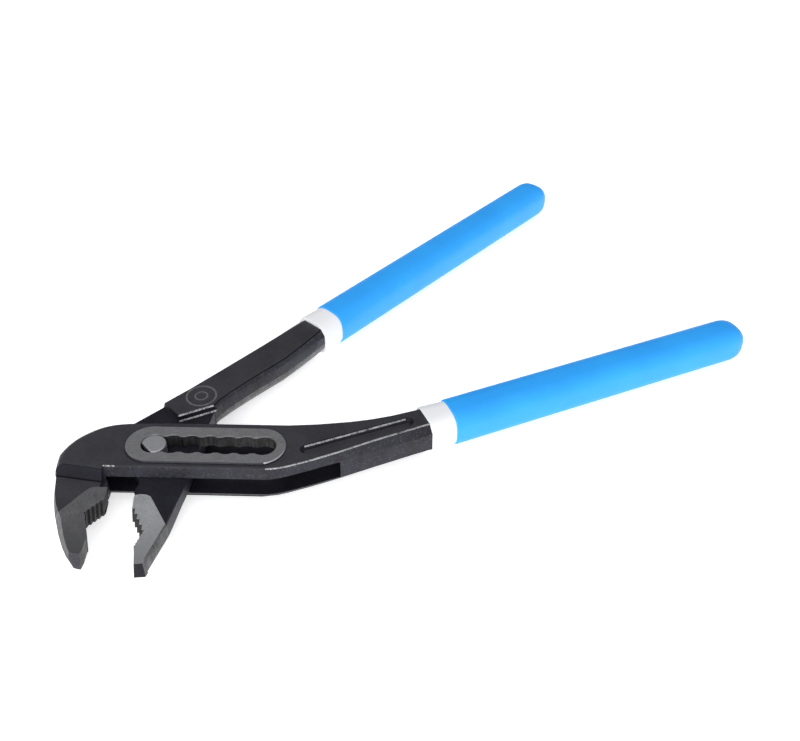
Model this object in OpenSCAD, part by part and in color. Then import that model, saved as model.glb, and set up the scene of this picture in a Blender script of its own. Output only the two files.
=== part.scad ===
// Box-joint water pump pliers: an outer lever with two slotted cheeks, an inner lever that passes
// between them, a flat-sided pivot pin that seats in seven positions, and double-dipped handles.
// Millimetres. +X along the slot towards the handles, +Y to the back of the head, +Z up.
// The tool lies flat on the lower slot boss; rest pose is the pin in its first position.

/* [Pivot] */
// Distance between neighbouring pin positions
pitch = 6; // [5:0.1:8]
// Number of pin positions
positions = 7; // [5:1:9]
// Pin radius
pin_r = 4.1; // [3:0.05:6]
// Radial running clearance of the pin
pin_gap = 0.05; // [0.01:0.01:0.1]
// Distance of the pin's flat from its axis
pin_flat = 2.8; // [2:0.1:4]
// Direction the flat faces in the rest pose, degrees
pin_flat_dir = 221; // [180:1:270]
// Half width of the straight slot between the lobes
slot_half = 3.5; // [3:0.05:4]

/* [Head] */
// Half thickness of the head over its cheeks
head_half = 7; // [5:0.1:9]
// Height of the ground boss above each cheek
boss_h = 0.7; // [0.3:0.1:2]
// Outer radius of the oval boss
boss_r = 8.35; // [7:0.05:10]
// Left centre of the oval boss
boss_x0 = -1.1; // [-3:0.1:0]
// Right centre of the oval boss
boss_x1 = 35; // [30:0.1:45]
// Half height of the channel between the cheeks
channel_half = 3.3; // [2:0.05:5]
// Half thickness of the fixed jaw
jaw_half = 3.7; // [3:0.1:6]
// Height of the square lip beside the channel
lip = 0.3; // [0.1:0.05:1]
// Radius of the rounded back of the head
head_r = 19.4; // [15:0.1:25]
// Sideways run of the forged slope on the cheeks
slope_in = 2.3; // [1:0.1:4]

/* [Inner lever] */
// Half thickness of the tongue and the moving jaw
tongue_half = 3.2; // [2:0.05:5]
// Half thickness of the shank behind the shoulder
shank_half = 5.5; // [4:0.1:7]

/* [Handles] */
// Finished width of a grip
grip_w = 15; // [12:0.1:20]
// Finished thickness of a grip
grip_t = 14; // [11:0.1:18]
// Corner radius of the grip section
grip_corner = 4.6; // [3:0.1:7]
// Thickness of the coloured outer coat
coat = 0.45; // [0.2:0.05:1]
// Thickness of the pale under coat
under_coat = 0.75; // [0.4:0.05:2]
// Length of the pale band in front of the coloured coat
band_len = 9.1; // [5:0.1:15]
// Length of the coloured grip on the outer lever
outer_grip_len = 122.7; // [100:0.1:150]
// Length of the coloured grip on the inner lever
inner_grip_len = 134.8; // [100:0.1:150]
// Direction of the outer handle, degrees
outer_dir = 25.3; // [15:0.1:35]
// Direction of the inner handle, degrees
inner_dir = 49.4; // [40:0.1:60]

/* [Hidden] */
$fn = 64;
eps = 0.02;
full_half = head_half + boss_h;
travel = (positions - 1) * pitch;
lobe_r = pin_r + pin_gap;
slope_z = channel_half + lip;
step_z = jaw_half + lip;
over = 1;
mitre = 2;
far = 60;
// Row origin: centre of the outline in the rest pose, on the plane the tool lies on
origin_x = 88.23;
origin_y = 66.30;
// Rounded back of the head and long back curve of the fixed jaw
head_c = [-12.2, -8.4];
jaw_back_r = 56;
jaw_back_c = [24.6, -8.4];
jaw_slope = 1.6;
jaw_flat = 1.9;
// Where each coloured grip starts, on its handle axis
outer_start = [96.4, 21.6];
inner_start = [51, 75.45];
core_w = grip_w - 2 * coat - 2 * under_coat;
core_t = 10.6;
core_end = 9;
core_corner = 3.4;

// Plan of the head and cheeks, and of the outer shank
cheek_plan = [[-12.9, -11.2], [38, -11.2], [45, -9.3], [61, -2.4], [91, 11.6], [85.3, 23.8],
              [76.6, 19.4], [63.3, 14.6], [52.5, 12.4], [43, 11.4], [20, 11.3], [-3.5, 10.9],
              [-12.2, 11], [-40, 11], [-40, -9.96], [-12.7, -13.78]];
lower_edge = [[-12.9, -11.2], [38, -11.2], [45, -9.3], [61, -2.4], [91, 11.6]];
// Gripping faces of the fixed jaw: throat, upper flank, V bottom, lower flank, tip
throat = [[-12.9, -11.2], [-12.5, -16.2], [-12.4, -19.3]];
fixed_v0 = [-12.4, -19.3];
fixed_v1 = [-17.4, -26.8];
fixed_v2 = [-14.3, -36.5];
fixed_tip = [[-14, -43.5], [-17.9, -43.3], [-40, -43.3], [-40, -8.4]];
// Step from the cheeks down to the fixed jaw
step_a = [-34, -10.8];
step_b = [-9, -14.3];
step_run = 1.8;
// Opening between the cheeks, closed towards the head and towards the handle
channel_plan = [[-19.8, 20], [-19.8, -2], [-15.5, -9], [-12.8, -12.8], [-12.8, -22], [61.3, -22],
                [61.3, 20]];
// Long oval pocket in the outer shank
fuller_a = [50.2, -0.2];
fuller_b = [82, 15.2];
fuller_r = 2.3;
fuller_z = 5.6;
// Top of the outer shank falls away towards the grip
fall_s0 = 48;
fall_s1 = 92;
fall_to = 6.1;

// Plan of the tongue and moving jaw
neck = [[3, -47], [5.3, -46.4], [6.2, -44.3], [9.7, -30.5], [11.4, -18.5], [12.5, -11.4],
        [13.2, -4], [14.2, 6], [15.9, 20.1], [17.8, 25.5], [6, 31], [-2.1, 22.4], [-9.8, 14.5],
        [-12.9, 11.3], [-13.5, 8], [-12, 3], [-9.2, -2.5], [-5.8, -6.5], [-2.8, -11],
        [-2.4, -14], [-3.2, -17.5], [-3.3, -20]];
moving_v0 = [-3.3, -20];
moving_v1 = [3.6, -33];
moving_v2 = [1.8, -41.5];
shank_plan = [[-0.3, 23.9], [5, 15.4], [16.2, 20.8], [18.2, 24.6], [27.2, 35.5], [37.9, 47],
              [50.2, 64.1], [40, 72.9], [26, 55.6], [13.9, 41.2], [5.2, 31]];
tooth_depth = 1.1;
fine_depth = 0.6;
coarse_teeth = 4;
fine_teeth = 6;

// Saw teeth along a flank from p to q, cut into the side given by the sign of depth
function teeth(p, q, n, depth) =
  let (d = q - p)
  let (len = sqrt(d[0] * d[0] + d[1] * d[1]))
  let (m = [-d[1], d[0]] / len)
  [for (i = [0 : n - 1], k = [0, 1])
    p + d * (i + (k == 0 ? 0 : 0.85)) / n + m * depth * (k == 0 ? 0 : 1)];

// Puts a piece drawn about the pin axis and the mid plane into the row frame
module place() {
  translate([-origin_x, -origin_y, full_half]) children();
}

// Prism of a [sideways, height] profile along the line p to q; sideways is to the left of it
module along(p, q, before, after, profile) {
  d = q - p;
  len = sqrt(d[0] * d[0] + d[1] * d[1]);
  translate([p[0], p[1], 0])
    rotate([0, 0, atan2(d[1], d[0])])
      translate([-before, 0, 0])
        rotate([90, 0, 90])
          linear_extrude(height = len + before + after) polygon(profile);
}

// The same cut on the upper and the lower side
module both_sides() {
  children();
  mirror([0, 0, 1]) children();
}

module slab(half) {
  translate([0, 0, -half]) linear_extrude(height = 2 * half) children();
}

// ---- outer lever ----
module fixed_jaw_plan() {
  intersection() {
    translate(jaw_back_c) circle(r = jaw_back_r, $fn = 180);
    polygon(concat(throat, teeth(fixed_v0, fixed_v1, coarse_teeth, tooth_depth),
                   teeth(fixed_v1, fixed_v2, fine_teeth, fine_depth), fixed_tip));
  }
}

module cheek_outline() {
  intersection() {
    polygon(cheek_plan);
    union() {
      translate(head_c) circle(r = head_r, $fn = 96);
      translate([head_c[0], -20]) square([120, far]);
      translate([-far, -20]) square([far, 20 + head_c[1]]);
    }
    union() {
      translate(jaw_back_c) circle(r = jaw_back_r, $fn = 180);
      translate([head_c[0], -20]) square([120, far]);
      translate([-far, head_c[1]]) square([far, far]);
    }
  }
}

module slot_plan() {
  for (i = [0 : positions - 1]) {
    translate([i * pitch, 0]) circle(r = lobe_r, $fn = 48);
  }
  translate([0, -slot_half]) square([travel, 2 * slot_half]);
}

module boss_plan() {
  translate([boss_x0, 0]) circle(r = boss_r);
  translate([boss_x1, 0]) circle(r = boss_r);
  translate([boss_x0, -boss_r]) square([boss_x1 - boss_x0, 2 * boss_r]);
}

// Conical trim round the back of the head
module head_back_slope() {
  intersection() {
    translate([head_c[0], head_c[1], 0])
      rotate_extrude($fn = 96)
        polygon([[head_r - slope_in, head_half + eps], [head_r + over, head_half + eps],
                 [head_r + over, step_z], [head_r, step_z]]);
    translate([head_c[0] - far, head_c[1], 0]) cube([far, far, far]);
  }
}

module jaw_back_slope(z_low, z_top, run) {
  intersection() {
    translate([jaw_back_c[0], jaw_back_c[1], 0])
      rotate_extrude($fn = 180)
        polygon([[jaw_back_r - run, z_top + eps], [jaw_back_r + over, z_top + eps],
                 [jaw_back_r + over, z_low], [jaw_back_r, z_low]]);
    translate([jaw_back_c[0] - 2 * far, jaw_back_c[1] - far, 0]) cube([2 * far, far, far]);
  }
}

module lower_slope() {
  for (i = [0 : len(lower_edge) - 2]) {
    along(lower_edge[i], lower_edge[i + 1], i == 0 ? 0 : mitre, mitre,
          [[0, slope_z], [slope_in, head_half + over], [-over, head_half + over],
           [-over, slope_z]]);
  }
}

module jaw_step() {
  along(step_a, step_b, far / 2, 0,
        [[0, step_z], [step_run, head_half + over], [-far, head_half + over], [-far, step_z]]);
}

module shank_fall() {
  rotate([0, 0, outer_dir])
    translate([0, far, 0])
      rotate([90, 0, 0])
        linear_extrude(height = 2 * far)
          polygon([[fall_s0, head_half], [fall_s1, fall_to], [fall_s1 + far, fall_to],
                   [fall_s1 + far, head_half + over], [fall_s0, head_half + over]]);
}

module fuller() {
  translate([fuller_a[0], fuller_a[1], fuller_z]) cylinder(r = fuller_r, h = over + 2);
  translate([fuller_b[0], fuller_b[1], fuller_z]) cylinder(r = fuller_r, h = over + 2);
  along(fuller_a, fuller_b, 0, 0,
        [[-fuller_r, fuller_z], [fuller_r, fuller_z], [fuller_r, head_half + over],
         [-fuller_r, head_half + over]]);
}

module handle_core(start, dir, len) {
  translate([start[0], start[1], 0])
    rotate([0, 0, dir])
      translate([-band_len - over, 0, 0])
        bar(band_len + over + len - core_end, core_w, core_t, core_corner);
}

module outer_lever() {
  color([0.1, 0.1, 0.11])
    place() {
      difference() {
        union() {
          slab(jaw_half) fixed_jaw_plan();
          slab(head_half) cheek_outline();
          slab(full_half) boss_plan();
        }
        both_sides() {
          head_back_slope();
          jaw_back_slope(step_z, head_half, slope_in);
          jaw_back_slope(jaw_flat, jaw_half, jaw_slope);
          lower_slope();
          jaw_step();
          shank_fall();
          fuller();
        }
        slab(channel_half) polygon(channel_plan);
        slab(full_half + over) slot_plan();
      }
      handle_core(outer_start, outer_dir, outer_grip_len);
    }
}

// ---- inner lever ----
module moving_plan() {
  polygon(concat(neck, teeth(moving_v0, moving_v1, coarse_teeth, -tooth_depth),
                 teeth(moving_v1, moving_v2, fine_teeth, -fine_depth), [moving_v2]));
}

module inner_lever() {
  color([0.1, 0.1, 0.11])
    place() {
      difference() {
        union() {
          slab(tongue_half) moving_plan();
          slab(shank_half) polygon(shank_plan);
        }
        slab(full_half) circle(r = lobe_r);
      }
      handle_core(inner_start, inner_dir, inner_grip_len);
    }
}

// ---- pivot pin ----
module joint_pin() {
  color([0.62, 0.62, 0.63])
    place()
      difference() {
        slab(full_half) circle(r = pin_r);
        rotate([0, 0, pin_flat_dir])
          translate([pin_flat, -pin_r - over, -full_half - over])
            cube([2 * pin_r, 2 * pin_r + 2 * over, 2 * full_half + 2 * over]);
      }
}

// ---- dipped handles ----
// Rounded section, lying along +X
module bar(len, w, t, r) {
  rotate([90, 0, 90])
    linear_extrude(height = len) {
      square([w - 2 * r, t], center = true);
      square([w, t - 2 * r], center = true);
      for (sx = [-1, 1], sy = [-1, 1]) {
        translate([sx * (w / 2 - r), sy * (t / 2 - r)]) circle(r = r, $fn = 48);
      }
    }
}

// Bar whose far end is rounded in plan and in side view
module rounded_bar(len, w, t, r) {
  intersection() {
    bar(len, w, t, r);
    union() {
      translate([len - w / 2, 0, -t]) cylinder(r = w / 2, h = 2 * t);
      translate([-over, -w, -t]) cube([len - w / 2 + over, 2 * w, 2 * t]);
    }
    union() {
      translate([len - t / 2, w, 0]) rotate([90, 0, 0]) cylinder(r = t / 2, h = 2 * w);
      translate([-over, -w, -t]) cube([len - t / 2 + over, 2 * w, 2 * t]);
    }
  }
}

module at_handle(start, dir) {
  place()
    translate([start[0], start[1], 0])
      rotate([0, 0, dir]) children();
}

// Pale under coat: shows as a band in front of the coloured coat
module under_sock(len) {
  w = grip_w - 2 * coat;
  t = grip_t - 2 * coat;
  difference() {
    translate([-band_len, 0, 0]) rounded_bar(band_len + len - coat, w, t, grip_corner - coat);
    translate([-band_len - over, 0, 0])
      bar(band_len + over + len - core_end + eps, core_w + 2 * eps, core_t + 2 * eps, core_corner);
  }
}

module cover_sock(len) {
  w = grip_w - 2 * coat + 2 * eps;
  t = grip_t - 2 * coat + 2 * eps;
  difference() {
    rounded_bar(len, grip_w, grip_t, grip_corner);
    translate([-over, 0, 0])
      rounded_bar(len - coat + over + eps, w, t, grip_corner - coat);
  }
}

module outer_band() {
  color([0.93, 0.93, 0.92])
    at_handle(outer_start, outer_dir) under_sock(outer_grip_len);
}

module inner_band() {
  color([0.93, 0.93, 0.92])
    at_handle(inner_start, inner_dir) under_sock(inner_grip_len);
}

module outer_grip() {
  color([0.06, 0.5, 0.9])
    at_handle(outer_start, outer_dir) cover_sock(outer_grip_len);
}

module inner_grip() {
  color([0.06, 0.5, 0.9])
    at_handle(inner_start, inner_dir) cover_sock(inner_grip_len);
}

outer_lever();
inner_lever();
joint_pin();
outer_band();
inner_band();
outer_grip();
inner_grip();
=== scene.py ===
import math

import bmesh
import bpy
from mathutils import Matrix, Vector


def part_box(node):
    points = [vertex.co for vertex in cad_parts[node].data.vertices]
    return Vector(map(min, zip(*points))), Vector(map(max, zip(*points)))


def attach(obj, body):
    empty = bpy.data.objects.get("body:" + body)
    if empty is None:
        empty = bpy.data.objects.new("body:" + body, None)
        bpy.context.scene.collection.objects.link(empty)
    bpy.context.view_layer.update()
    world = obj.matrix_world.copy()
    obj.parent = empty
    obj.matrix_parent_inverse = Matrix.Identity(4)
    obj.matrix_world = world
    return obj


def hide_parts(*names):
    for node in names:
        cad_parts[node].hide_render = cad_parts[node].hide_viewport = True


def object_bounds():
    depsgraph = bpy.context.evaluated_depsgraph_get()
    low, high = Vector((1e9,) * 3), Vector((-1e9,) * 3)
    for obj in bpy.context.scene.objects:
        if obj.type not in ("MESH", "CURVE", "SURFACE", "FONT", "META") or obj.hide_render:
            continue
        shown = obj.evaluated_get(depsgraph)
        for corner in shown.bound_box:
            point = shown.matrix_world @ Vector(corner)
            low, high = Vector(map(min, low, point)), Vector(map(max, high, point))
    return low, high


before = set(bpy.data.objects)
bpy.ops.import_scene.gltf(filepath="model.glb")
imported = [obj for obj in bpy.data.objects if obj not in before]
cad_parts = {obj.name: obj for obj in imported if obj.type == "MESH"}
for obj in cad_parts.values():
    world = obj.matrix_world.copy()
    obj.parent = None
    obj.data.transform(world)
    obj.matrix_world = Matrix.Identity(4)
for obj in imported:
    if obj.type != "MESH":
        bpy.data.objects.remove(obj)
cad_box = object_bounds()

# ---------------------------------------------------------------- sizes
# Lengths in the shaping code are millimetres about the pivot axis and the mid plane of the tool.
MM = 0.001
PIN_R = 4.1
HEAD_TOP = 7.0
BOSS_TOP = 7.7
JAW_TOP = 3.7
GAP = 3.35
TONGUE = 3.2
SHANK = 5.5
PITCH = 6.0
SEATS = 7
SEAT_R = 4.15
SLOT_HALF = 3.5
BOSS_R = 8.35
BOSS_ENDS = (-1.1, 35.0)
OUTER_DIR = 25.3
INNER_DIR = 49.4
OUTER_START = (96.4, 21.6)
INNER_START = (51.0, 75.45)
OUTER_GRIP = 120.7
INNER_GRIP = 131.8
BAND = 9.1
# How far a cutting tool stands above the ridge it cuts, and the height that clears every face
OVER = 1.5
CLEAR = 9
# Gap below which the points left by a cut are merged
SLIVER = 0.0005
# Depth that grinding takes off the jaw faces
GROUND = 0.07
# The outer shank's top falls by SHANK_FALL over FALL_RUN, from FALL_START along the shank
SHANK_FALL = 0.9
FALL_START = 48
FALL_RUN = 44
# Sideways lean of the toothed faces between mid plane and top
OUTER_LEAN = 0.9
INNER_LEAN = 0.75
# Distance of the pin's flat from its axis, and the direction it faces
PIN_FLAT = 2.8
PIN_FLAT_DIR = 221
# The stamp's place on the inner shank, and its rings as (radius, half line width)
STAMP_PLACE = (10.8, 26.5)
STAMP_RINGS = ((5.1, 0.26), (2.1, 0.22))
# Half width and half thickness of the dipped coats
BAND_HALF = (7.05, 6.55)
GRIP_HALF = (7.5, 7.0)
# Share of its width that a grip loses from end to end, and the length of its round end
GRIP_TAPER = 0.035
GRIP_CAP = 6.6

pin_low, pin_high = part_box("joint_pin")
PIVOT = Vector((pin_high.x - PIN_R * MM, pin_high.y - PIN_R * MM, (pin_low.z + pin_high.z) / 2))

# Places of the finishes in FINISHES
FLAT, SIDE, WORN_AND_HIGHLIGHT, BOSS, RIM_HIGHLIGHT, JAW_DARK, JAW_BRIGHT, TOOTH, BORE, STAMP, SHADE_COAT, SHADE_LINE, FLOOR_REFLECTION = range(13)


# ---------------------------------------------------------------- finishes
def add(tree, kind, inputs=None, **settings):
    """New shader node, with its inputs linked or set."""
    node = tree.nodes.new("ShaderNode" + kind)
    for name, value in settings.items():
        setattr(node, name, value)
    for name, value in (inputs or {}).items():
        if isinstance(value, bpy.types.NodeSocket):
            tree.links.new(value, node.inputs[name])
        else:
            node.inputs[name].default_value = value
    return node


def start_finish(name):
    """Empty finish, with its shader and the piece's own coordinates."""
    finish = bpy.data.materials.new(name)
    finish.use_nodes = True
    tree = finish.node_tree
    tree.nodes.clear()
    shader = add(tree, "BsdfPrincipled")
    add(tree, "OutputMaterial", {"Surface": shader.outputs[0]})
    place = add(tree, "TexCoord").outputs["Object"]
    return finish, tree, shader, place


def noise(tree, place, scale, detail, rough=0.55, stretch=None):
    """Cloudy pattern on the piece, drawn out where a stretch is given."""
    if stretch:
        place = add(tree, "Mapping", {"Vector": place, "Scale": stretch}).outputs[0]
    return add(tree, "TexNoise", {"Vector": place, "Scale": scale, "Detail": detail,
                                  "Roughness": rough}).outputs[0]


def spread(tree, value, low, high, to_low, to_high):
    """Maps one range of values onto another."""
    return add(tree, "MapRange", {"Value": value, "From Min": low, "From Max": high,
                                  "To Min": to_low, "To Max": to_high}).outputs[0]


def ramp(tree, value, stops):
    """Colour that changes with a value, through (value, colour) stops."""
    node = add(tree, "ValToRGB", {"Fac": value})
    marks = node.color_ramp.elements
    while len(marks) < len(stops):
        marks.new(0.5)
    for mark, (at, shade) in zip(marks, stops):
        mark.position = at
        mark.color = (*shade, 1.0)
    return node.outputs[0]


def maths(tree, how, one, two=0.0):
    return add(tree, "Math", {0: one, 1: two}, operation=how).outputs[0]


def blend(tree, share, under, over):
    """Lays one colour over another by a mask."""
    return add(tree, "Mix", {"Factor": share, 6: under, 7: (*over, 1.0)},
               data_type="RGBA").outputs[2]


def grey(level):
    """Steel grey with a faint blue cast."""
    return (level, level, level * 1.03)


def coal(level):
    """Near-black with the faint violet cast of the coating."""
    return (level, level * 0.96, level * 1.5)


def stamped_rings(tree, place, grain):
    """Mask of the round stamp: two thin rings, broken up by the grain."""
    centre = PIVOT + Vector((*STAMP_PLACE, 0)) * MM
    away = add(tree, "VectorMath", {0: place, 1: (centre.x, centre.y, 0)},
               operation="SUBTRACT").outputs[0]
    flat = add(tree, "VectorMath", {0: away, 1: (1, 1, 0)}, operation="MULTIPLY").outputs[0]
    reach = add(tree, "VectorMath", {0: flat}, operation="LENGTH").outputs["Value"]
    rings = []
    for radius, half in STAMP_RINGS:
        near = maths(tree, "ABSOLUTE", maths(tree, "SUBTRACT", reach, radius * MM))
        rings.append(spread(tree, near, half * MM, (half + 0.12) * MM, 1.0, 0.0))
    return maths(tree, "MULTIPLY", maths(tree, "MAXIMUM", *rings),
                 spread(tree, grain, 0.3, 0.6, 0.5, 1.0))


def coat(name, dark, light, rough, pits, shine, specks=0.0, stamp=False):
    """Black coating over forged steel."""
    finish, tree, shader, place = start_finish(name)
    patch = noise(tree, place, 95, 4)
    grain = noise(tree, place, 900, 4, 0.6)
    fine = noise(tree, place, 3600, 2, 0.6)
    tone = maths(tree, "ADD", maths(tree, "MULTIPLY", patch, 0.55),
                 maths(tree, "MULTIPLY", grain, 0.45))
    colour = ramp(tree, tone, [(0.36, coal(dark)), (0.5, coal((dark + light) / 2)),
                               (0.66, coal(light))])
    if specks:
        spot = spread(tree, noise(tree, place, 1250, 2, 0.5), 0.58, 0.68, 0.0, specks)
        colour = blend(tree, spot, colour, grey(0.10))
    if stamp:
        colour = blend(tree, stamped_rings(tree, place, grain), colour, grey(0.11))
    tree.links.new(colour, shader.inputs["Base Color"])
    tree.links.new(spread(tree, tone, 0.35, 0.65, rough - 0.06, rough + 0.08),
                   shader.inputs["Roughness"])
    shader.inputs["Specular IOR Level"].default_value = shine
    pit = spread(tree, noise(tree, place, 520, 3, 0.65), 0.56, 0.72, 0.0, -1.0)
    height = maths(tree, "ADD", maths(tree, "MULTIPLY", pit, pits),
                   maths(tree, "ADD", maths(tree, "MULTIPLY", grain, 0.5),
                         maths(tree, "MULTIPLY", fine, 0.25)))
    wave = maths(tree, "MULTIPLY", noise(tree, place, 60, 2), 1.6)
    bump = add(tree, "Bump", {"Strength": 0.32 + 0.45 * pits, "Distance": 0.00014,
                              "Height": maths(tree, "ADD", height, wave)})
    tree.links.new(bump.outputs[0], shader.inputs["Normal"])
    return finish


def bare(name, low, high, rough, metal, stroke=(1, 1, 1), depth=0.00002, strength=0.35,
         tip_shade=1.0):
    """Ground bare steel with fine strokes; the last setting darkens it towards the jaw tips as
    painted shade.
    """
    finish, tree, shader, place = start_finish(name)
    stroke_tone = noise(tree, place, 2600, 3, 0.6, stroke)
    cloud = noise(tree, place, 260, 4, 0.6)
    spot = noise(tree, place, 1300, 2, 0.5)
    tone = maths(tree, "ADD", maths(tree, "MULTIPLY", stroke_tone, 0.4),
                 maths(tree, "ADD", maths(tree, "MULTIPLY", cloud, 0.35),
                       maths(tree, "MULTIPLY", spot, 0.25)))
    colour = ramp(tree, tone, [(0.34, grey(low)), (0.66, grey(high))])
    # Painted shade: the colour darkens towards the jaw tips
    if tip_shade < 1:
        along = add(tree, "SeparateXYZ", {0: place}).outputs["Y"]
        tip_shade_mask = spread(tree, along, PIVOT.y - 0.026, PIVOT.y - 0.045, 0.0, 1.0)
        colour = blend(tree, tip_shade_mask, colour, grey((low + high) / 2 * tip_shade))
    tree.links.new(colour, shader.inputs["Base Color"])
    tree.links.new(spread(tree, tone, 0.35, 0.65, rough + 0.07, rough - 0.07),
                   shader.inputs["Roughness"])
    shader.inputs["Metallic"].default_value = metal
    bump = add(tree, "Bump", {"Strength": strength, "Distance": depth, "Height": tone})
    tree.links.new(bump.outputs[0], shader.inputs["Normal"])
    return finish


def worn_and_highlight(name):
    """Bright steel along an edge: coating rubbed through, and in part a painted highlight where
    the edge would catch the light.
    """
    finish, tree, shader, place = start_finish(name)
    rub = noise(tree, place, 330, 4, 0.6)
    speck = noise(tree, place, 1800, 3, 0.6)
    mask = spread(tree, maths(tree, "ADD", maths(tree, "MULTIPLY", rub, 0.45),
                              maths(tree, "MULTIPLY", speck, 0.55)), 0.38, 0.54, 0.0, 1.0)
    tree.links.new(blend(tree, mask, (*grey(0.03), 1.0), grey(0.42)),
                   shader.inputs["Base Color"])
    tree.links.new(maths(tree, "MULTIPLY", mask, 0.7), shader.inputs["Metallic"])
    tree.links.new(spread(tree, speck, 0.3, 0.7, 0.34, 0.5), shader.inputs["Roughness"])
    bump = add(tree, "Bump", {"Strength": 0.3, "Distance": 0.00004, "Height": speck})
    tree.links.new(bump.outputs[0], shader.inputs["Normal"])
    return finish


def dipped(name, base, shade, rough, coat_level):
    """Smooth dipped plastic with a faint orange peel."""
    finish, tree, shader, place = start_finish(name)
    cloud = noise(tree, place, 70, 3)
    peel = noise(tree, place, 1500, 2, 0.5)
    colour = ramp(tree, cloud, [(0.3, shade), (0.7, base)])
    tree.links.new(colour, shader.inputs["Base Color"])
    tree.links.new(spread(tree, peel, 0.3, 0.7, rough - 0.04, rough + 0.05),
                   shader.inputs["Roughness"])
    shader.inputs["Coat Weight"].default_value = coat_level
    shader.inputs["Coat Roughness"].default_value = 0.35
    height = maths(tree, "ADD", maths(tree, "MULTIPLY", peel, 0.5),
                   maths(tree, "MULTIPLY", cloud, 2.0))
    bump = add(tree, "Bump", {"Strength": 0.25, "Distance": 0.0001, "Height": height})
    tree.links.new(bump.outputs[0], shader.inputs["Normal"])
    return finish


FINISHES = [
    coat("coat_flat", 0.006, 0.017, 0.42, 0.25, 0.64),
    coat("coat_side", 0.004, 0.026, 0.44, 0.95, 0.33, 0.3),
    # Rubbed steel, also used as painted highlights and glints on ridges and walls
    worn_and_highlight("worn_edge_and_highlight"),
    bare("ground_boss", 0.165, 0.28, 0.46, 0.8, (0.12, 1, 1)),
    # Brighter ground steel, used as a painted highlight on the lit side of the boss rim and on
    # the pin's chamfers
    bare("boss_rim_highlight", 0.28, 0.45, 0.34, 0.9),
    bare("ground_fixed_jaw", 0.10, 0.185, 0.46, 0.8, (1, 0.2, 1), tip_shade=0.55),
    bare("ground_moving_jaw", 0.30, 0.51, 0.42, 0.75, (1, 0.3, 1), tip_shade=0.66),
    bare("tooth_steel", 0.008, 0.045, 0.5, 0.5, (1, 1, 0.08), 0.00008, 0.6),
    bare("seat_wall", 0.004, 0.10, 0.42, 0.6, (0.35, 0.35, 0.02)),
    coat("coat_stamped", 0.006, 0.017, 0.42, 0.25, 0.64, stamp=True),
    # Coat with little shine, used as painted shade on recessed, sunken and shaded faces
    coat("coat_painted_shade", 0.006, 0.016, 0.5, 0.5, 0.15),
    # Near-black coat for thin lines of painted shade at the step's foot and along a ridge
    coat("coat_shade_line", 0.002, 0.006, 0.6, 0.4, 0.08),
    # Streaked light steel, a painted reflection of the floor on a down-facing wall
    bare("floor_reflection_steel", 0.02, 0.17, 0.42, 0.5, (0.5, 0.5, 1)),
]
PIN_FINISH = bare("pin_steel", 0.31, 0.45, 0.4, 0.85, (1, 0.25, 1))
BAND_FINISH = dipped("band_vinyl", (0.84, 0.84, 0.85), (0.80, 0.80, 0.82), 0.5, 0.05)
GRIP_FINISH = dipped("grip_vinyl", (0.014, 0.375, 0.94), (0.011, 0.335, 0.90), 0.45, 0.06)


# ---------------------------------------------------------------- shaping
def arc(centre, radius, start, end, steps):
    """Points on a circle from one direction to another, in degrees."""
    turns = [math.radians(start + (end - start) * k / steps) for k in range(steps + 1)]
    return [(centre[0] + radius * math.cos(t), centre[1] + radius * math.sin(t)) for t in turns]


def level(points, z):
    """Ring of a plan outline at one height."""
    return [(x, y, z) for x, y in points]


def loft(bm, rings, paint=None, caps=(FLAT, FLAT)):
    """Closed shell through rings that have the same number of points."""
    verts = [bm.verts.new(p) for p in rings[0]]
    count = len(verts)
    edges = [bm.edges.new((verts[k], verts[(k + 1) % count])) for k in range(count)]
    first = list(edges)
    for i, ring in enumerate(rings[1:]):
        grown = bmesh.ops.extrude_edge_only(bm, edges=edges)["geom"]
        fresh = {g for g in grown if isinstance(g, bmesh.types.BMVert)}
        walls = {g for g in grown if isinstance(g, bmesh.types.BMFace)}
        for k, edge in enumerate(edges):
            wall = next(f for f in edge.link_faces if f in walls)
            wall.material_index = paint(i, k) if paint else FLAT
        verts = [next(e.other_vert(v) for e in v.link_edges if e.other_vert(v) in fresh)
                 for v in verts]
        for vert, point in zip(verts, ring):
            vert.co = point
        edges = [bm.edges.get((verts[k], verts[(k + 1) % count])) for k in range(count)]
    for loop, finish in ((first, caps[0]), (edges, caps[1])):
        made = bmesh.ops.contextual_create(bm, geom=loop)["faces"]
        for face in made:
            face.material_index = finish
    return bm


def run_on(path, first=4.0, last=4.0):
    """The same path, carried straight on past its ends."""
    path = [Vector(p) for p in path]
    head = path[0] + (path[0] - path[1]).normalized() * first
    tail = path[-1] + (path[-1] - path[-2]).normalized() * last
    return ([head] if first else []) + path + ([tail] if last else [])


def plate(points, low, high, finish):
    """Prism of a plan outline between two heights."""
    return loft(bmesh.new(), [level(points, low), level(points, high)],
                lambda i, k: finish, (finish, finish))


def sweep(bm, path, profiles, paint):
    """Bar that follows a plan path; each profile point is (distance to the left, height)."""
    rings = []
    for k, here in enumerate(path):
        here = Vector(here)
        before = (here - Vector(path[k - 1])).normalized() if k else None
        after = (Vector(path[k + 1]) - here).normalized() if k + 1 < len(path) else None
        run = ((before or after) + (after or before)).normalized()
        stretch = 1 / max(0.5, run.dot(before or after))
        side = Vector((-run.y, run.x)) * stretch
        rings.append([(here.x + side.x * d, here.y + side.y * d, z) for d, z in profiles[k]])
    return loft(bm, rings, paint)


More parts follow.
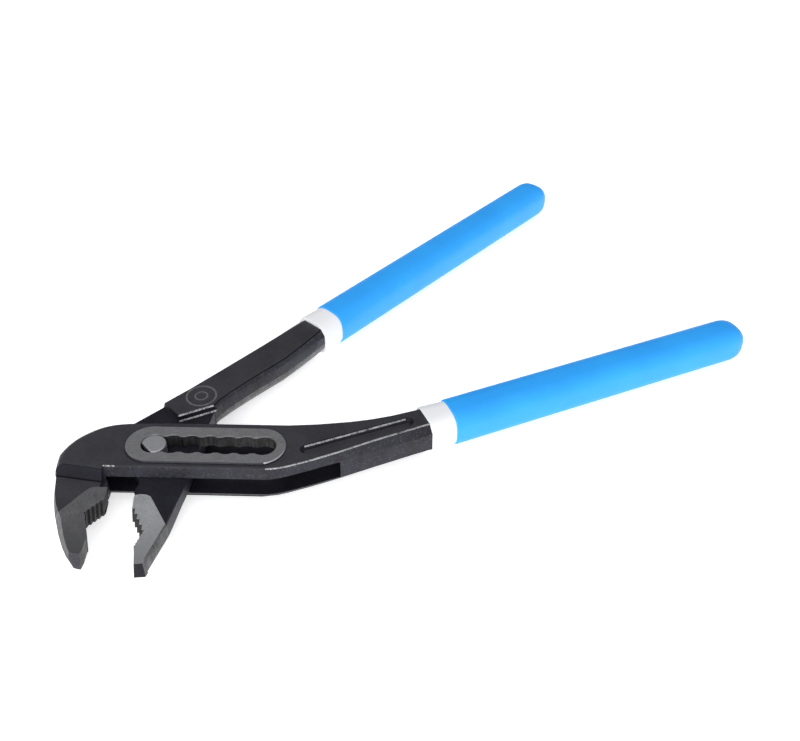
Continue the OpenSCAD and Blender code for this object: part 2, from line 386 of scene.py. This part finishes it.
def sloped(run, low, top, soft=0.45):
    """Cutting profile of a forged slope that ends in a softened ridge at the top."""
    outside, foot = -5, 1.2
    sign = 1 if top > 0 else -1
    base, ridge = Vector((0, low)), Vector((run, top))
    up = (ridge - base).normalized()
    before = ridge - up * soft
    after = ridge + Vector((soft, 0))
    middle = (before + after) / 4 + ridge / 2
    past = after + (after - middle) * 0.2
    points = [base - up * foot, before, middle, past, past + Vector((0.5, sign * OVER)),
              Vector((outside, past.y + sign * OVER)), Vector((outside, base.y - up.y * foot))]
    return [tuple(p) for p in points]


def ridge_paint(i, k):
    """Finishes of a slope whose ridge is rubbed bright and carries a painted highlight."""
    return (SIDE, WORN_AND_HIGHLIGHT, WORN_AND_HIGHLIGHT, FLAT, FLAT, FLAT, FLAT)[k]


def plain_ridge_paint(i, k):
    """Finishes of a slope whose ridge keeps its coating."""
    return SIDE if k < 3 else FLAT


def as_object(name, bm, finishes=FINISHES):
    """Turns a closed shell into a piece, with its faces pointing outwards."""
    mesh = bpy.data.meshes.new(name)
    bmesh.ops.triangulate(bm, faces=bm.faces[:])
    bmesh.ops.recalc_face_normals(bm, faces=bm.faces[:])
    bm.to_mesh(mesh)
    bm.free()
    piece = bpy.data.objects.new(name, mesh)
    bpy.context.scene.collection.objects.link(piece)
    for finish in finishes:
        mesh.materials.append(finish)
    return piece


def carve(piece, tool, how="DIFFERENCE"):
    """Cuts the tool's shape out of the piece, or joins it on."""
    cutter = as_object("tool", tool)
    step = piece.modifiers.new("carve", "BOOLEAN")
    step.operation = how
    step.solver = "EXACT"
    step.material_mode = "TRANSFER"
    step.object = cutter
    graph = bpy.context.evaluated_depsgraph_get()
    shaped = bpy.data.meshes.new_from_object(piece.evaluated_get(graph))
    piece.modifiers.remove(step)
    welded = bmesh.new()
    welded.from_mesh(shaped)
    bmesh.ops.remove_doubles(welded, verts=welded.verts[:], dist=SLIVER)
    bmesh.ops.dissolve_degenerate(welded, edges=welded.edges[:], dist=SLIVER)
    bmesh.ops.triangulate(welded, faces=welded.faces[:])
    welded.to_mesh(shaped)
    welded.free()
    old = piece.data
    piece.data = shaped
    bpy.data.meshes.remove(old)
    bpy.data.objects.remove(cutter)


def finish_piece(piece, body, node, sharp=34):
    """Puts a shaped piece in its place, shades it and ties it to its body."""
    bm = bmesh.new()
    bm.from_mesh(piece.data)
    bmesh.ops.scale(bm, vec=(MM, MM, MM), verts=bm.verts)
    bmesh.ops.translate(bm, vec=PIVOT, verts=bm.verts)
    for face in bm.faces:
        face.smooth = True
    for edge in bm.edges:
        if len(edge.link_faces) == 2:
            edge.smooth = edge.calc_face_angle(0) < math.radians(sharp)
    bm.to_mesh(piece.data)
    bm.free()
    even = piece.modifiers.new("even shading", "WEIGHTED_NORMAL")
    even.keep_sharp = True
    even.weight = 80
    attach(piece, body)
    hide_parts(node)


def cleaned(piece, assign):
    """Merges slivers left by the cuts and gives each face its finish."""
    bm = bmesh.new()
    bm.from_mesh(piece.data)
    bmesh.ops.remove_doubles(bm, verts=bm.verts[:], dist=SLIVER * 8)
    bmesh.ops.dissolve_degenerate(bm, edges=bm.edges[:], dist=SLIVER * 4)
    bm.normal_update()
    for face in bm.faces:
        chosen = assign(face.calc_center_median(), face.normal, face.material_index)
        if chosen is not None:
            face.material_index = chosen
    bm.to_mesh(piece.data)
    bm.free()


def saw(start, end, count, depth):
    """Saw teeth along a flank; a positive depth stands to the left of it."""
    peak = 0.82
    start, end = Vector(start), Vector(end)
    run = end - start
    out = Vector((-run.y, run.x)).normalized() * depth
    points = []
    for k in range(count):
        points.append(tuple(start + run * (k / count)))
        points.append(tuple(start + run * ((k + peak) / count) + out))
    return points


# ---------------------------------------------------------------- outer lever
def shank_top(x, y):
    """Height of the outer shank's top face, which falls towards the grip."""
    along = x * math.cos(math.radians(OUTER_DIR)) + y * math.sin(math.radians(OUTER_DIR))
    fallen = min(1.15, max(0.0, (along - FALL_START) / FALL_RUN))
    return HEAD_TOP - SHANK_FALL * fallen


# Plan outline of the outer lever, stretch by stretch
NEAR_EDGE = [(-12.9, -11.2), (-10.6, -11.2), (10, -11.2), (38, -11.2), (41.6, -10.5),
             (45, -9.3), (53, -5.95), (61, -2.4), (72, 2.73), (82, 7.4), (93.7, 12.86)]
FAR_EDGE = [(88, 25.17), (85.3, 23.8), (76.6, 19.4), (70, 16.7), (63.3, 14.6), (52.5, 12.4),
            (43, 11.4), (20, 11.3), (6, 11.15), (-3.5, 10.95), (-9.4, 11.0)]
HEAD_BACK = arc((-12.2, -8.4), 19.4, 92, 163, 14) + [(-31.2, -4.2), (-31.05, -7), (-30.6, -11)]
JAW_BACK = [(-30.1, -13.2), (-29.4, -17), (-28.5, -20.5), (-27.4, -24), (-26.2, -27.3),
            (-24.9, -30.4), (-23.4, -34), (-21.4, -38), (-19.3, -41.4)]
JAW_TIP = [(-17.7, -43.2)]


def outer_plan(shift):
    """Outline of the outer lever; shift moves the toothed faces to the right."""
    coarse = saw((-12.1, -20.7), (-17.3, -27.1), 5, 0.55)
    fine = saw((-17.3, -27.1), (-13.9, -37), 7, 0.28)
    flank = [(-12.4, -16.2)] + coarse + fine + [(-13.9, -37), (-13.85, -41.5), (-14.2, -43.9)]
    teeth = [(x + shift, y) for x, y in flank]
    return NEAR_EDGE + FAR_EDGE + HEAD_BACK + JAW_BACK + JAW_TIP + teeth[::-1]


def both_ways(make):
    """One tool that cuts the upper and the lower side alike."""
    bm = bmesh.new()
    make(bm, 1)
    make(bm, -1)
    return bm


def fall_cut(bm, sign):
    """Planes the outer shank thinner towards the grip."""
    turn = Matrix.Rotation(math.radians(OUTER_DIR), 3, "Z")
    low = HEAD_TOP - SHANK_FALL * 1.2
    far, above = 150, 12
    flat = [(FALL_START, HEAD_TOP), (FALL_START + FALL_RUN * 1.2, low), (far, low),
            (far, above), (FALL_START, above)]
    loft(bm, [[turn @ Vector((x, side, sign * z)) for x, z in flat] for side in (-60, 60)])


def near_cut(bm, sign):
    """Forged slope along the near edge; on the upper side its ridge is rubbed bright and painted
    as a highlight, on the lower side its slope is in painted shade.
    """
    if sign > 0:
        runs = [1.2, 1.2, 1.2, 1.2, 1.0, 0.8, 0.75, 1.1, 1.9, 2.2, 2.5]
    else:
        runs = [2.7] * 8 + [2.8, 2.8, 2.9]

    def paint(i, k):
        if sign < 0:
            return SHADE_COAT if k < 2 else SIDE
        return plain_ridge_paint(i, k) if i in (1, 2) else ridge_paint(i, k)

    profiles = [sloped(run, sign * 3.45, sign * shank_top(x, y), 0.33)
                for run, (x, y) in zip(runs, NEAR_EDGE)]
    path = run_on([(-14.5, -11.2)] + NEAR_EDGE[1:], 0)
    sweep(bm, path, profiles + profiles[-1:], paint)


def far_cut(bm, sign):
    """Forged slope along the far edge, wide at the shank and narrow at the head."""
    runs = [3.1, 3.0, 2.1, 1.5, 1.0, 0.6, 0.5, 0.5, 0.5, 0.6, 0.9]
    profiles = [sloped(run, sign * (3.2 if run > 1 else 3.2 + 2.4 * (1 - run)),
                       sign * shank_top(x, y), 0.4)
                for run, (x, y) in zip(runs, FAR_EDGE)]
    sweep(bm, run_on(FAR_EDGE, 4, 0), profiles[:1] + profiles, plain_ridge_paint)


def head_cut(bm, sign):
    """Rounds the back of the head."""
    path = [(-2.7, 11.02), (-9.4, 11.0)] + HEAD_BACK + [(-30.3, -12.6)]
    shape = [(-0.35, 0.6), (0.1, 2.6), (0.45, 4.2), (1.05, 5.6), (1.9, 6.55), (3.3, 7.06),
             (3.9, 8.6), (-4, 8.6), (-4, 0.6)]
    profiles = []
    for x, y in path:
        part = min(1.0, max(0.2, (-x - 2) / 22)) if y > -2 else 1.0
        profiles.append([(d * part if d > 0 else d, sign * z) for d, z in shape])
    sweep(bm, path, profiles, lambda i, k: SIDE)


def jaw_back_cut(bm, sign):
    """Slope along the back of the fixed jaw, bare on its lower stretch."""
    path = [(-30.8, -10.2)] + JAW_BACK + [(-17.2, -44.0)]
    runs = [0.8, 0.8, 0.8, 0.85, 0.95, 1.4, 1.85, 1.7, 1.35, 0.95, 0.55]
    profiles = []
    for run in runs:
        shape = [(-0.5, 0.2), (run * 0.18, 1.2), (run, JAW_TOP), (run + 0.4, JAW_TOP + 1.2),
                 (-4, JAW_TOP + 1.2), (-4, 0.2)]
        profiles.append([(d, sign * z) for d, z in shape])
    sweep(bm, path, profiles, lambda i, k: JAW_DARK if i > 4 else SIDE)


def step_cut(bm, sign):
    """Drops from the cheek to the thinner fixed jaw over a rounded step, with painted shade on
    its riser and a dark line of painted shade at its foot.
    """
    profile = [(-60, JAW_TOP), (-1.1, JAW_TOP), (-0.5, JAW_TOP + 0.12), (-0.1, JAW_TOP + 0.5),
               (1.25, 6.35), (1.55, 6.8), (2.05, 7.04), (2.6, 8.6), (-60, 8.6)]
    path = [(-38, -9.85), (-9, -14.05)]
    sweep(bm, path, [[(d, sign * z) for d, z in profile]] * 2,
          lambda i, k: (FLAT, SHADE_LINE, SHADE_COAT, SHADE_COAT, SHADE_COAT, SHADE_COAT, FLAT, FLAT, FLAT)[k])


def capsule(a, b, radius, steps=14):
    """Plan outline with two straight sides and two round ends."""
    a, b = Vector(a), Vector(b)
    turn = math.degrees(math.atan2(b.y - a.y, b.x - a.x))
    return (arc(b, radius, turn - 90, turn + 90, steps)
            + arc(a, radius, turn + 90, turn + 270, steps))


def boss(bm, sign):
    """Raised oval round the slot, with painted shade on its side walls and a painted highlight on
    its rim at the handle end and along the far side.
    """
    ends = [(x, 0) for x in BOSS_ENDS]
    rings = []
    for z, radius in ((5.5, 8.55), (HEAD_TOP, 8.5), (7.38, 8.42), (BOSS_TOP, BOSS_R - 0.25)):
        rings.append(level(capsule(*ends, radius, 24), sign * z))
    loft(bm, rings, lambda i, k: (SHADE_COAT, SHADE_COAT, RIM_HIGHLIGHT if 1 < k < 30 else SIDE)[i], (BOSS, BOSS))


def seats(radius, half):
    """Plan of the slot: seven round pin seats joined by a straight slot."""
    rise = math.degrees(math.asin(half / radius))
    points = []
    for k in range(SEATS):
        start = 180 if k == 0 else 180 + rise
        end = 360 if k == SEATS - 1 else 360 - rise
        points += arc((k * PITCH, 0), radius, start, end, 12)
    for k in reversed(range(SEATS)):
        start = 0 if k == SEATS - 1 else rise
        end = 180 if k == 0 else 180 - rise
        seat = arc((k * PITCH, 0), radius, start, end, 12)
        if k == SEATS - 1:
            seat = seat[1:]
        if k == 0:
            seat = seat[:-1]
        points += seat
    return points


def slot_tool():
    """Slot through both cheeks, with a small chamfer at each face."""
    rings = []
    for z, grow in ((-CLEAR, 1.0), (-7.9, 0.33), (-7.4, 0), (7.4, 0), (7.9, 0.33),
                    (CLEAR, 1.0)):
        rings.append(level(seats(SEAT_R + grow, SLOT_HALF + grow), z))
    return loft(bmesh.new(), rings, lambda i, k: BOSS if i in (1, 3) else BORE)


def fuller_cut(bm, sign):
    """Long groove in the outer shank in painted shade, with a line along its far wall that is
    rubbed bright and painted as a highlight.
    """
    ends = ((50.0, -0.4), (82.6, 14.6))
    rubbed_and_lit_wall = (2, 14)
    rings = []
    for depth, radius in ((1.4, 0.8), (1.25, 1.3), (0.8, 1.62), (0.3, 1.95), (-0.3, 2.3)):
        rings.append([(x, y, sign * (shank_top(x, y) - depth))
                      for x, y in capsule(*ends, radius)])
    rings.append([(x, y, sign * CLEAR) for x, y, z in rings[-1]])
    loft(bm, rings, lambda i, k: WORN_AND_HIGHLIGHT if (i, k) == rubbed_and_lit_wall else SHADE_COAT, (SIDE, SIDE))


# Plan of the channel between the cheeks that the inner lever passes through
CHANNEL = [(-19.8, 20), (-19.8, -2), (-15.5, -9), (-12.8, -12.8), (-12.8, -22), (60.6, -22),
           (61.6, 20)]


def outer_ground_cut(bm, sign):
    """Grinds the fixed jaw's two flat faces bare."""
    zone = [(-24.6, -27.1), (-18.8, -18.2), (-17.9, -17.1), (-16.9, -16.4), (-15.4, -16.1),
            (-5, -16.0), (-5, -50), (-34, -50), (-34, -33)]
    loft(bm, [level(zone, sign * (JAW_TOP - GROUND)), level(zone, sign * CLEAR)],
         lambda i, k: JAW_DARK, (JAW_DARK, JAW_DARK))


def outer_assign(centre, normal, now):
    """Finish of a face on the outer lever; None keeps the one that its cut left."""
    if now in (JAW_DARK, JAW_BRIGHT, BOSS, RIM_HIGHLIGHT, WORN_AND_HIGHLIGHT, SHADE_COAT, SHADE_LINE, FLOOR_REFLECTION):
        return None
    upright = abs(normal.z) < 0.4
    if upright and -43.3 < centre.y < -15.9 and -19.5 < centre.x < -11.5 and normal.x > -0.2:
        return TOOTH
    if now == BORE:
        return BORE
    return SIDE if abs(normal.z) < 0.93 else FLAT


outer = as_object("outer_lever_forging",
                  loft(bmesh.new(), [level(outer_plan(-OUTER_LEAN), -HEAD_TOP),
                                     level(outer_plan(OUTER_LEAN), HEAD_TOP)]))
for tool in (fall_cut, near_cut, far_cut, head_cut, step_cut, jaw_back_cut):
    carve(outer, both_ways(tool))
carve(outer, both_ways(boss), "UNION")
# The channel walls take the painted shade coat
carve(outer, plate(CHANNEL, -GAP, GAP, SHADE_COAT))
carve(outer, slot_tool())
carve(outer, both_ways(fuller_cut))
carve(outer, both_ways(outer_ground_cut))
cleaned(outer, outer_assign)
finish_piece(outer, "outer_half", "outer_lever")


# ---------------------------------------------------------------- inner lever
# Plan outline of the inner lever, stretch by stretch
NECK_RIGHT = [(5.7, -46.5), (6.4, -44.2), (9.7, -30.8), (11.4, -18.5), (12.5, -11.4), (13.2, -4),
              (14.2, 6), (15.9, 20.1)]
SHANK_NEAR = [(16.6, 21.4), (18.2, 24.6), (22.4, 29.9), (27.2, 35.5), (37.9, 47), (44, 55.2),
              (50.2, 64.1), (53.4, 68.5)]
SHANK_FAR = [(42.2, 75.6), (40, 72.9), (33, 64.4), (26, 55.6), (13.9, 41.2), (5.2, 31),
             (-0.9, 24.4)]
TONGUE_LEFT = [(-2.1, 22.4), (-9.8, 14.5), (-12.9, 11.3), (-13.5, 8), (-12, 3), (-9.2, -2.5),
               (-5.8, -6.5), (-2.8, -11), (-2.4, -14), (-3.2, -17.5)]


def inner_plan(shift):
    """Outline of the inner lever; shift moves the toothed faces to the left."""
    coarse = saw((-2.95, -22.4), (3.1, -33.6), 5, -0.85)
    fine = saw((3.1, -33.6), (1.45, -40.2), 6, -0.35)
    flank = [(-3.25, -20)] + coarse + fine + [(1.45, -40.2), (1.65, -41.7), (2.7, -46.9)]
    teeth = [(x - shift, y) for x, y in flank]
    return NECK_RIGHT + SHANK_NEAR + SHANK_FAR + TONGUE_LEFT + teeth


def inner_near_cut(bm, sign):
    """Forged slope above, with a dark line of painted shade at its ridge, and a wall that leans
    in below, painted lighter as a reflection of the floor.
    """
    if sign > 0:
        profiles = [sloped(run, 3.0 if run > 1.4 else 3.9, SHANK)
                    for run in (0.9, 0.95, 1.0, 1.05, 1.2, 1.5, 1.9, 2.1)]
        paints = (SIDE, SHADE_LINE, SIDE, FLAT, FLAT, FLAT, FLAT)
    else:
        below = [(-0.35, 2.2), (0.3, -2.2), (2.6, -SHANK), (3.1, -CLEAR), (-5, -CLEAR), (-5, 2.2)]
        profiles = [below] * len(SHANK_NEAR)
        paints = (FLOOR_REFLECTION, FLOOR_REFLECTION, FLAT, FLAT, FLAT, FLAT)
    sweep(bm, run_on(SHANK_NEAR, 0.7), profiles[:1] + profiles + profiles[-1:],
          lambda i, k: paints[k])


def inner_far_cut(bm, sign):
    """Forged slope along the inner shank's far edge."""
    runs = [3.3, 3.1, 2.6, 2.1, 1.55, 1.2, 1.0]
    profiles = [sloped(run, sign * 2.9, sign * SHANK) for run in runs]
    sweep(bm, run_on(SHANK_FAR), profiles[:1] + profiles + profiles[-1:], plain_ridge_paint)


def shoulder_cut(bm, sign):
    """Mills the tongue and moving jaw down in painted shade, with a line at both edges of the
    step that is rubbed bright and painted as a highlight.
    """
    outside = [(40, 10), (40, -60), (-40, -60), (-40, 40)]
    foot = [(-2.9, 23.9), (5.0, 15.2), (19.5, 22.6)]
    wide = [(-3.1, 24.5), (4.9, 15.75), (19.4, 23.1)]
    brow = [(-3.2, 24.7), (4.87, 15.95), (19.3, 23.3)]
    top = [(-3.5, 25.1), (4.75, 16.5), (19.1, 23.9)]
    rings = [level(step + outside, sign * z)
             for step, z in ((foot, TONGUE), (wide, TONGUE + 0.35), (brow, SHANK - 0.4),
                             (top, SHANK + 0.08), (top, CLEAR))]
    loft(bm, rings, lambda i, k: WORN_AND_HIGHLIGHT if i in (0, 2) and k == 1 else SHADE_COAT, (SHADE_COAT, SHADE_COAT))


def neck_cut(bm, sign):
    """Slope along the right side of the tongue in painted shade, bare beside the moving jaw."""
    path = [(6.0, -45), (9.7, -30.8), (11.4, -18.5), (12.5, -11.4), (13.2, -4)]
    runs = [0.25, 0.35, 0.8, 0.9, 0.9]
    profiles = [sloped(run, sign * (TONGUE - 0.9), sign * TONGUE, 0.2) for run in runs]
    sweep(bm, path, profiles, lambda i, k: BORE if i == 0 and k < 3 else SHADE_COAT)


def inner_ground_cut(bm, sign):
    """Grinds the moving jaw's two flat faces bare."""
    zone = [(-12, -18.6), (-3.0, -19.0), (-1.0, -18.55), (1.1, -18.7), (2.5, -19.5), (9.9, -31.6),
            (20, -34), (20, -60), (-12, -60)]
    loft(bm, [level(zone, sign * (TONGUE - GROUND)), level(zone, sign * CLEAR)],
         lambda i, k: JAW_BRIGHT, (JAW_BRIGHT, JAW_BRIGHT))


def inner_assign(centre, normal, now):
    """Finish of a face on the inner lever; None keeps the one that its cut left."""
    if now in (JAW_BRIGHT, JAW_DARK, WORN_AND_HIGHLIGHT, SHADE_COAT, SHADE_LINE, FLOOR_REFLECTION):
        return None
    upright = abs(normal.z) < 0.4
    if upright and -46 < centre.y < -19 and centre.x < 4.6 and normal.x < 0.3:
        return TOOTH
    if upright and centre.y < -30.6 and normal.x > 0.5:
        return BORE
    # Painted shade on the front face of the moving jaw's tip
    if centre.y < -45.5 and normal.y < -0.7:
        return SHADE_COAT
    if now == BORE:
        return BORE
    if abs(normal.z) < 0.93:
        return SIDE
    return STAMP if normal.z > 0 and centre.z > 5 else FLAT


inner = as_object("inner_lever_forging",
                  loft(bmesh.new(), [level(inner_plan(INNER_LEAN), -SHANK),
                                     level(inner_plan(-INNER_LEAN), SHANK)]))
for tool in (inner_near_cut, inner_far_cut, shoulder_cut, neck_cut):
    carve(inner, both_ways(tool))
carve(inner, plate(arc((0, 0), SEAT_R + 0.05, 0, 354, 59), -CLEAR, CLEAR, BORE))
carve(inner, both_ways(inner_ground_cut))
cleaned(inner, inner_assign)
finish_piece(inner, "inner_half", "inner_lever")


# ---------------------------------------------------------------- pivot pin
def pin_section(radius, flat):
    """Round section with one flat."""
    half = math.degrees(math.acos(flat / radius))
    return arc((0, 0), radius, PIN_FLAT_DIR + half, PIN_FLAT_DIR + 360 - half, 56)


rings = [level(pin_section(PIN_R + grow, PIN_FLAT + grow), z)
         for z, grow in ((-BOSS_TOP, -0.3), (-7.62, -0.14), (-7.42, 0), (7.42, 0),
                         (7.62, -0.14), (BOSS_TOP, -0.3))]
# The pin's chamfers take the boss rim's finish: brighter steel with a painted highlight
pin = as_object("pivot_pin", loft(bmesh.new(), rings, lambda i, k: int(i != 2), (0, 0)),
                [PIN_FINISH, FINISHES[RIM_HIGHLIGHT]])
finish_piece(pin, "pin", "joint_pin")


# ---------------------------------------------------------------- dipped handles
def section(half_w, half_t, power):
    """Rounded handle section, across the handle and up."""
    count = 72
    points = []
    for k in range(count):
        t = 2 * math.pi * k / count
        c, s = math.cos(t), math.sin(t)
        points.append((half_w * math.copysign(abs(c) ** (2 / power), c),
                       half_t * math.copysign(abs(s) ** (2 / power), s)))
    return points


def handle(name, start, turn, stations, finishes):
    """Shell through stations of (distance along, half width, half thickness, squareness)."""
    place = Matrix.Translation((*start, 0)) @ Matrix.Rotation(math.radians(turn), 4, "Z")
    rings = []
    for along, half_w, half_t, power in stations:
        rings.append([place @ Vector((along, y, z)) for y, z in section(half_w, half_t, power)])
    return as_object(name, loft(bmesh.new(), rings), finishes)


def band_stations():
    """White under coat: a small round rim, then straight on into the grip."""
    w, t = BAND_HALF
    rim = [(-BAND, w - 0.22, t - 0.22, 3.4), (-BAND + 0.08, w - 0.08, t - 0.08, 3.4),
           (-BAND + 0.3, w, t, 3.4)]
    straight = [(-BAND * k / 4, w, t, 2.8 + 0.15 * k) for k in (3, 2, 1)]
    return rim + straight + [(0, w, t, 2.8), (1.5, w, t, 2.8)]


def grip_stations(length):
    """Coloured coat: a rolled lip, a slow taper and a round end."""
    w, t = GRIP_HALF
    lip = 0.7
    stations = [(0.0, 6.9, 6.4, 2.8), (0.0, 7.1, 6.6, 2.8), (0.1, 7.32, 6.83, 2.8),
                (0.32, 7.45, 6.96, 2.8), (lip, w, t, 2.8)]
    body = length - GRIP_CAP
    steps = 34
    for k in range(1, steps + 1):
        along = lip + (body - lip) * k / steps
        slim = 1 - GRIP_TAPER * along / length
        stations.append((along, w * slim, t * slim, 2.8))
    for k in range(1, 12):
        turn = math.pi / 2 * k / 12
        slim = (1 - GRIP_TAPER) * math.cos(turn) ** 0.7
        stations.append((body + GRIP_CAP * math.sin(turn), w * slim, t * slim, 2.7))
    stations.append((length, 0.5, 0.47, 2.5))
    return stations


for side, start, turn, length in (("outer", OUTER_START, OUTER_DIR, OUTER_GRIP),
                                  ("inner", INNER_START, INNER_DIR, INNER_GRIP)):
    band = handle(f"{side}_handle_band", start, turn, band_stations(), [BAND_FINISH])
    finish_piece(band, f"{side}_half", f"{side}_band", 60)
    grip = handle(f"{side}_handle_grip", start, turn, grip_stations(length), [GRIP_FINISH])
    finish_piece(grip, f"{side}_half", f"{side}_grip", 60)


# ---------------------------------------------------------------- floor, light, camera
def floor_finish():
    """Pale matte sheet that glows a little, so that the ground stays near white."""
    finish, tree, shader, place = start_finish("pale_floor")
    tone = noise(tree, place, 3, 2)
    tree.links.new(ramp(tree, tone, [(0.3, (0.9, 0.9, 0.9)), (0.7, (0.92, 0.92, 0.92))]),
                   shader.inputs["Base Color"])
    shader.inputs["Roughness"].default_value = 0.9
    shader.inputs["Specular IOR Level"].default_value = 0.1
    shader.inputs["Emission Color"].default_value = (1.0, 1.0, 1.0, 1.0)
    shader.inputs["Emission Strength"].default_value = 0.55
    return finish


sheet = bmesh.new()
bmesh.ops.create_grid(sheet, x_segments=1, y_segments=1, size=4.0)
bmesh.ops.translate(sheet, vec=(0, 0, cad_box[0].z), verts=sheet.verts)
floor_mesh = bpy.data.meshes.new("studio_floor")
sheet.to_mesh(floor_mesh)
sheet.free()
floor_mesh.materials.append(floor_finish())
floor = bpy.data.objects.new("studio_floor", floor_mesh)
bpy.context.scene.collection.objects.link(floor)

world = bpy.data.worlds.new("studio")
world.use_nodes = True
sky = world.node_tree
backdrop = sky.nodes["Background"]
backdrop.inputs["Color"].default_value = (0.96, 0.97, 1.0, 1.0)
# The backdrop is bright in front of the tool and dim behind it
direction = add(sky, "TexCoord").outputs["Generated"]
toward = add(sky, "SeparateXYZ", {0: direction}).outputs["Y"]
sky.links.new(spread(sky, toward, -0.2, 1.0, 0.93, 0.2), backdrop.inputs["Strength"])
bpy.context.scene.world = world


def soft_light(name, place, size, power):
    """Rectangular lamp that faces the middle of the scene."""
    data = bpy.data.lights.new(name, "AREA")
    data.shape = "RECTANGLE"
    data.size, data.size_y = size
    data.energy = power
    lamp = bpy.data.objects.new(name, data)
    lamp.location = place
    lamp.rotation_euler = (-Vector(place)).to_track_quat("-Z", "Y").to_euler()
    bpy.context.scene.collection.objects.link(lamp)


soft_light("front_softbox", (-0.1, -1.0, 0.5), (0.9, 0.5), 5.0)
soft_light("top_softbox", (-0.3, 0.1, 1.1), (0.7, 0.7), 1.6)

camera_data = bpy.data.cameras.new("camera")
camera_data.sensor_fit = "HORIZONTAL"
camera_data.sensor_width = 36.0
camera_data.lens = 48.836
camera_data.clip_start = 0.02
camera = bpy.data.objects.new("camera", camera_data)
bpy.context.scene.collection.objects.link(camera)
# The camera's own axes and its place about the pivot
right, up, back = (0.9994, 0.0335, -0.0029), (-0.0192, 0.6388, 0.7692), (0.0277, -0.7687, 0.6390)
stand = PIVOT + Vector((89.8, -254.6, 252.3)) * MM
camera.matrix_world = Matrix.Translation(stand) @ Matrix(
    [[right[k], up[k], back[k]] for k in range(3)]).to_4x4()
bpy.context.scene.camera = camera
bpy.context.scene.view_settings.view_transform = "Standard"
